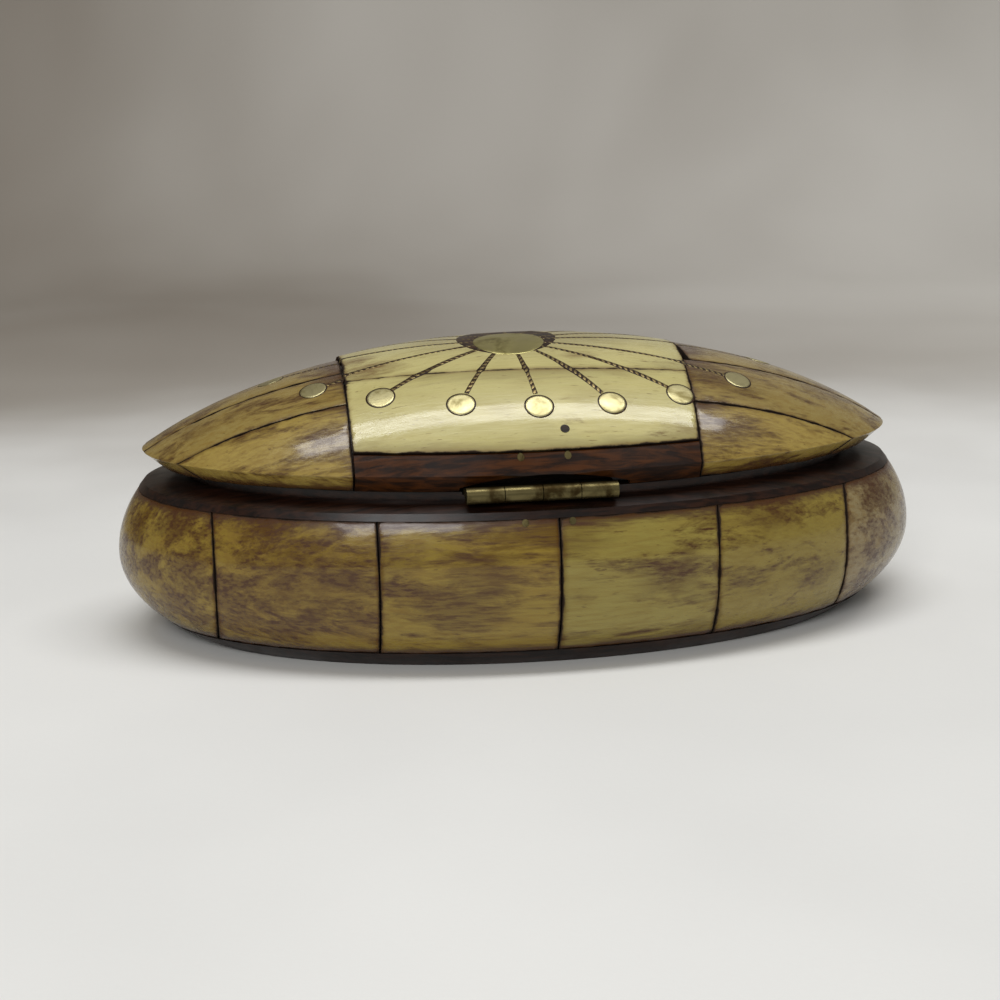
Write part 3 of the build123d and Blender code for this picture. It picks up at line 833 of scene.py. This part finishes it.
# %% Lid panels
PANEL_TONES = (CREAM, HONEY, TAN, 0.3)
PANEL_START, TOP_PANEL_BOTTOM = 3, 45.0


def lid_panel(bm, name, seed):
    """Finish one pale panel: its fibres are weaker and its rim less rusty than at the ends."""
    wear = {"chip": 0.1, "fibre_depth": 0.35, "rim_depth": 0.3}
    dress_plate(bm, name, PANEL_TONES, seed, "panel_bone", "lid", LID_THICKNESS, **wear)


for side, label, seed in ((-1, "near", 31), (1, "far", 32)):
    bm = column_skin()
    cut(bm, (0, 0, STRIP_TOP), (0, 0, -1))
    cut(bm, (0, side * PANEL_START, 0), (0, -side, 0))
    cut_right_edge(bm, side)
    split_by_seam(bm, side)
    keep_faces(bm, lambda p: p.y * side > panel_seam(p.x))
    lid_panel(bm, f"lid_panel_{label}", seed)

bm = column_skin()
cut(bm, (0, 0, TOP_PANEL_BOTTOM), (0, 0, -1))
for side in (-1, 1):
    cut_right_edge(bm, side)
    split_by_seam(bm, side)
keep_faces(bm, lambda p: abs(p.y) < panel_seam(p.x))
lid_panel(bm, "lid_panel_top", 33)
print("seam at the middle", round(panel_seam(-2), 2))

# %% [markdown]
# ## Ends of the lid
# Each end has a ridge plate and two plates on each side of it, whose seams draw together
# towards the tip.

# %% End plates of the lid
FAR_END = 80.0


def seam_line(root_x, root_y, tip_y, side):
    """A seam from the column to the lid's tip, on one side of the ridge."""
    return (root_x, side * root_y), ((FAR_END if root_x > 0 else -FAR_END), side * tip_y)


ENDS = {
    "left": (COLUMN_LEFT, LEFT_ROOT, LEFT_TIP, LEFT_RIDGE, -1),
    "right": (COLUMN_RIGHT, RIGHT_ROOT, RIGHT_TIP, RIGHT_RIDGE, 1),
}
END_TONES = {
    "lower": (OLIVE, OCHRE, RUST, 0.5),
    "upper": ((0.27, 0.2, 0.06), OCHRE, RUST, 0.54),
    "ridge": ((0.28, 0.21, 0.065), OCHRE, RUST, 0.52),
}
seed = 40
for end_name, (root_x, root, tip, ridge, end) in ENDS.items():
    for side, side_name in ((-1, "near"), (1, "far")):
        outer = seam_line(root_x, root, tip, side)
        inner = seam_line(root_x, ridge, RIDGE_TIP, side)
        seed += 1
        name = f"lid_bone_{end_name}_lower_{side_name}"
        end_plate(name, [(outer, side)], END_TONES["lower"], seed, side, end)
        seed += 1
        name = f"lid_bone_{end_name}_upper_{side_name}"
        end_plate(name, [(outer, -side), (inner, side)], END_TONES["upper"], seed, side, end)
    lines = [(seam_line(root_x, ridge, RIDGE_TIP, side), -side) for side in (-1, 1)]
    seed += 1
    end_plate(f"lid_bone_{end_name}_ridge", lines, END_TONES["ridge"], seed, 0, end)
lid_plates = [o for o in bpy.data.objects if o.name.startswith("lid_") and o.name.endswith("_skin")]
print("lid plates", len(lid_plates))

# %% [markdown]
# ## The sun of brass
# Discs, rays and a medallion of brass are let into the bone and bedded in dark filler,
# which shows as a thin line round each of them. The discs are thin round plates bent to
# the dome, and the rays are two brass wires twisted together and rolled flat.

# %% Sun sizes
SUN_X, SUN_Y, MEDALLION, DISC, RAY = -2.9, -4.9, 6.6, 2.45, 0.8
DISC_ROW = [-38.8, -27.5, -14.0, -0.6, 12.4, 25.3, 37.7]
RING_LENGTH, RING_WIDTH, RING_SLANT = 44.0, 24.6, 0.03
TIP_X, TIP_Y = 46.0, 2.0
FILLER_LINE = 0.3
# Rings, soft edge and reach of a disc are shares of its radius, and WIRE_LEAN is an angle.
# The rest is in millimetres.
DISC_RINGS, DISC_STEPS = (0, 0.3, 0.6, 0.82, 0.94, 1), 40
SOFT_START, SOFT_WIDTH, SOFT_DROP = 0.94, 0.06, 0.1
INLAY_THICKNESS = 0.35
WIRE_STEP, WIRE_PITCH, WIRE_LEAN, WIRE_ROUND = 0.16, 1.05, 1.6, 0.06
WIRE_UNDERLAP, DISC_REACH = 0.1, 0.9
disc_places = []
for x in DISC_ROW:
    across = RING_WIDTH * sqrt(1 - (x / RING_LENGTH) ** 2)
    disc_places += [(x, -across - RING_SLANT * x), (x, across - RING_SLANT * x)]
disc_places += [(-TIP_X, TIP_Y), (TIP_X, TIP_Y)]


def dome_normal(x, y):
    """Direction square to the dome above a point of the plan."""
    rise = lid_height(x, y) - (LID_APEX - arc_radius(LID_WIDTH, LID_APEX - NOSE_HEIGHT))
    return Vector((x / LID_RATIO**2, y, rise)).normalized()


def on_lid(x, y, lift):
    """A point of the finished lid, lifted a little off its surface."""
    return (Vector((x, y, surface_height(x, y))) + dome_normal(x, y) * lift) * MM


def flat_disc(bm):
    """A flat disc of radius 1, spun from its radius, to be copied and bent."""
    radius = [bm.verts.new((share, 0, 0)) for share in DISC_RINGS]
    edges = [bm.edges.new(pair) for pair in zip(radius, radius[1:])]
    bmesh.ops.spin(
        bm,
        geom=radius + edges,
        cent=(0, 0, 0),
        axis=(0, 0, 1),
        angle=2 * pi,
        steps=DISC_STEPS,
        use_merge=True,
    )
    bmesh.ops.remove_doubles(bm, verts=bm.verts, dist=0.001)
    return everything(bm)


def round_inlay(bm, disc, x, y, radius, lift, crown):
    """A copy of the flat disc bent to the dome, with a soft edge and a low crown."""
    normal = dome_normal(x, y)
    across = normal.cross(Vector((1, 0, 0))).normalized()
    along = across.cross(normal)
    made = bmesh.ops.duplicate(bm, geom=disc)["geom"]
    for v in [piece for piece in made if isinstance(piece, bmesh.types.BMVert)]:
        share = hypot(v.co.x, v.co.y)
        flat = (v.co.x * along + v.co.y * across) * radius
        height = surface_height(x, y) + lid_height(x + flat.x, y + flat.y) - lid_height(x, y)
        soft = crown * (1 - share**2) - SOFT_DROP * max(0, share - SOFT_START) / SOFT_WIDTH
        v.co = (Vector((x + flat.x, y + flat.y, height)) + normal * (lift + soft)) * MM


def inlay_object(bm, name, material, nodes=()):
    """Finish a piece of the sun and let it stand for its CAD nodes."""
    bmesh.ops.recalc_face_normals(bm, faces=bm.faces)
    piece = object_from(bm, name, material, "lid")
    wall = piece.modifiers.new("thickness", "SOLIDIFY")
    wall.thickness = INLAY_THICKNESS * MM
    wall.offset = -1
    if nodes:
        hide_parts(*nodes)


def ray_strip(bm, x, y, width, lift, twist=0.0):
    """A narrow strip on the dome from the medallion to one disc."""
    groove_shade = bm.verts.layers.float.get("twist") or bm.verts.layers.float.new("twist")
    heading = atan2(y - SUN_Y, x - SUN_X)
    length = hypot(x - SUN_X, y - SUN_Y) - DISC * DISC_REACH
    steps = int((length - MEDALLION) / WIRE_STEP)
    made = bmesh.ops.create_grid(bm, x_segments=steps, y_segments=4, size=0.5)
    for v in made["verts"]:
        far = MEDALLION - WIRE_UNDERLAP + (v.co.x + 0.5) * (length - MEDALLION)
        share = v.co.y * 2
        wave = sin(far * 2 * pi / WIRE_PITCH + share * WIRE_LEAN)
        # This value marks the grooves of the twist, which get painted shade.
        v[groove_shade] = 0.5 + 0.5 * wave
        side = share * width / 2
        px = SUN_X + far * cos(heading) - side * sin(heading)
        py = SUN_Y + far * sin(heading) + side * cos(heading)
        v.co = on_lid(px, py, lift - WIRE_ROUND * share**2 + twist * wave)


print("places for discs", len(disc_places))

# %% [markdown]
# ## Pieces of the sun
# The filler lies lowest, only just proud of the bone. The wires lie a little above it, and
# discs and medallion highest.

# %% Filler lines, discs, rays and medallion
FILLER_LIFT, BRASS_LIFT, WIRE_LIFT = -0.05, 0.0, -0.035
POOL_X, POOL_Y, POOL = -2.9, -1.9, 9.6
BED_MARGIN = 0.5
DISC_CROWN, MEDALLION_CROWN, WIRE_TWIST = 0.05, 0.1, 0.03


def sun_piece(name, material, rounds, ray_width, lift, crown, nodes=()):
    """One kind of piece of the sun: round plates and rays, at one height."""
    bm = bmesh.new()
    disc = flat_disc(bm)
    for x, y, radius in rounds:
        round_inlay(bm, disc, x, y, radius, lift, crown)
    bmesh.ops.delete(bm, geom=disc, context="VERTS")
    if ray_width:
        for x, y in disc_places:
            ray_strip(bm, x, y, ray_width, lift, crown)
    inlay_object(bm, name, material, nodes)


beds = [(x, y, DISC + FILLER_LINE) for x, y in disc_places] + [(POOL_X, POOL_Y, POOL)]
plates = [(x, y, DISC) for x, y in disc_places]
medallion = [(SUN_X, SUN_Y, MEDALLION)]
sun_piece("sun_filler", FILLER, beds, RAY + BED_MARGIN, FILLER_LIFT, 0.0)
sun_piece("sun_disc_plates", SUN_BRASS, plates, 0, BRASS_LIFT, DISC_CROWN, ["sun_discs"])
sun_piece("sun_ray_wires", RAY_BRASS, [], RAY, WIRE_LIFT, WIRE_TWIST, ["sun_rays"])
medallion_node = ["sun_medallion"]
sun_piece(
    "sun_medallion_plate",
    MEDALLION_BRASS,
    medallion,
    0,
    BRASS_LIFT,
    MEDALLION_CROWN,
    medallion_node,
)
print("sun discs", len(plates))

# %% [markdown]
# ## Camera
# The camera stands where the photographer stood, worked out from the box's outline.

# %% Camera
CAMERA_PLACE = Vector((-52.09, -326.19, 107.98)) * MM
CAMERA_YAW, CAMERA_PITCH, CAMERA_ROLL = radians(-8.38), radians(-14.74), radians(-0.71)
FOCAL_PIXELS, IMAGE_PIXELS, SENSOR = 1807.65, 1000, 36.0

level = cos(CAMERA_PITCH)
forward = Vector((sin(-CAMERA_YAW) * level, cos(CAMERA_YAW) * level, sin(CAMERA_PITCH)))
level_right = Vector((cos(-CAMERA_YAW), -sin(-CAMERA_YAW), 0))
level_up = level_right.cross(forward)
right = level_right * cos(CAMERA_ROLL) + level_up * sin(CAMERA_ROLL)
up = level_up * cos(CAMERA_ROLL) - level_right * sin(CAMERA_ROLL)
turn = Matrix((right, up, -forward)).transposed()
camera_data = bpy.data.cameras.new("camera")
camera_data.sensor_width = SENSOR
camera_data.lens = SENSOR * FOCAL_PIXELS / IMAGE_PIXELS
camera_data.clip_start = 0.01
camera = bpy.data.objects.new("camera", camera_data)
camera.matrix_world = Matrix.Translation(CAMERA_PLACE) @ turn.to_4x4()
bpy.context.scene.collection.objects.link(camera)
bpy.context.scene.camera = camera
print("lens", round(camera_data.lens, 2), "mm")

# %% [markdown]
# ## Floor and backdrop
# The floor is a pale cloth that rises in one soft sweep well behind the box. Its colour carries painted
# shade: darker towards the back and on the left.
# Its sizes are in metres.

# %% Floor and backdrop
FLOOR_COLOUR, BACKDROP_START, BACKDROP_RADIUS = (0.8, 0.8, 0.78), 0.42, 0.16
FLOOR_SIDE, FLOOR_FRONT, BACKDROP_TOP, SWEEP_STEPS = 1.5, -1.2, 1.2, 12
SHADE_START, SHADE_END = 0.13, 0.3
# Backdrop tones: painted shade, darker on the left and paler on the right where more light falls.
BACKDROP_SHADED, BACKDROP_LIT = (0.24, 0.21, 0.175), (0.6, 0.58, 0.54)


def floor_material():
    """Pale cloth with a faint weave, soft tone changes and painted shade: darker behind the box, darker
    to the left, and shaded folds.
    """
    material, tree, shader, coords = new_material("pale cloth and painted shade")
    soft = add_noise(tree, coords, 9, 3, 0.5)
    weave = add_noise(tree, coords, 900, 2, 0.5)
    darker = tuple(0.93 * tone for tone in FLOOR_COLOUR)
    colour = mix(tree, span(tree, soft, 0.3, 0.7), FLOOR_COLOUR, darker)
    place = tree.nodes.new("ShaderNodeSeparateXYZ")
    tree.links.new(coords, place.inputs[0])
    depth = math(tree, "ADD", place.outputs["Y"], math(tree, "MULTIPLY", soft, 0.12))
    # Painted shade of the cloth's folds, which also darkens the cloth towards the left.
    fold_shade = add_noise(tree, stretch(tree, coords, (1, 1, 0.5), (0.3, 0, 0)), 4, 3, 0.45, 0.3)
    lit_to_right = math(tree, "ADD", fold_shade, place.outputs["X"])
    cloth = mix(tree, span(tree, lit_to_right, 0.1, 1.0), BACKDROP_SHADED, BACKDROP_LIT)
    # Painted shade: behind the box the floor's colour runs into the darker backdrop tones.
    colour = mix(tree, span(tree, depth, SHADE_START, SHADE_END), colour, cloth)
    tree.links.new(colour, shader.inputs["Base Color"])
    shader.inputs["Roughness"].default_value = 0.9
    add_bump(tree, shader, weave, 0.15, 0.2)
    return material


def make_floor():
    """A table cloth that rises behind the box in one soft sweep."""
    bm = bmesh.new()
    start = bm.verts.new((-FLOOR_SIDE, FLOOR_FRONT, 0))
    end = bm.verts.new((FLOOR_SIDE, FLOOR_FRONT, 0))
    moving = [bm.edges.new((start, end))]
    places = [(BACKDROP_START, 0.0)]
    for step in range(1, SWEEP_STEPS + 1):
        angle = pi / 2 * step / SWEEP_STEPS
        y = BACKDROP_START + BACKDROP_RADIUS * sin(angle)
        places.append((y, BACKDROP_RADIUS * (1 - cos(angle))))
    places.append((BACKDROP_START + BACKDROP_RADIUS, BACKDROP_TOP))
    for y, z in places:
        made = bmesh.ops.extrude_edge_only(bm, edges=moving)["geom"]
        moving = [g for g in made if isinstance(g, bmesh.types.BMEdge)]
        for vert in {v for e in moving for v in e.verts}:
            vert.co.y, vert.co.z = y, z
    mesh = bpy.data.meshes.new("floor")
    bmesh.ops.recalc_face_normals(bm, faces=bm.faces)
    bm.to_mesh(mesh)
    bm.free()
    mesh.shade_smooth()
    mesh.materials.append(floor_material())
    floor = bpy.data.objects.new("floor", mesh)
    bpy.context.scene.collection.objects.link(floor)


make_floor()
print("floor made, the sweep starts at", BACKDROP_START, "m")

# %% [markdown]
# ## Lamps and world
# A window lights the box from the front left, and a long tube above it draws the bright
# line along the lid. The world adds a weak even light.

# %% Lamps and world
TARGET_HEIGHT = 0.03
WORLD_COLOUR, WORLD_STRENGTH = (1.0, 0.98, 0.94, 1.0), 0.22


def soft_lamp(name, place, length, width, power):
    """A soft lamp, its length along X, tilted to look at the box."""
    data = bpy.data.lights.new(name, "AREA")
    data.shape = "RECTANGLE"
    data.size = length
    data.size_y = width
    data.energy = power
    lamp = bpy.data.objects.new(name, data)
    lamp.location = place
    lamp.rotation_euler = (atan2(-place[1], place[2] - TARGET_HEIGHT), 0, 0)
    bpy.context.scene.collection.objects.link(lamp)


soft_lamp("window", (-0.3, -0.8, 0.55), 0.4, 0.4, 3.6)
soft_lamp("tube", (0.1, -0.04, 0.9), 1.0, 0.16, 5.4)
world = bpy.data.worlds.new("room")
world.use_nodes = True
background = world.node_tree.nodes["Background"]
background.inputs["Color"].default_value = WORLD_COLOUR
background.inputs["Strength"].default_value = WORLD_STRENGTH
bpy.context.scene.world = world
bpy.context.scene.view_settings.view_transform = "Standard"
print("lamps made", len(bpy.data.lights))
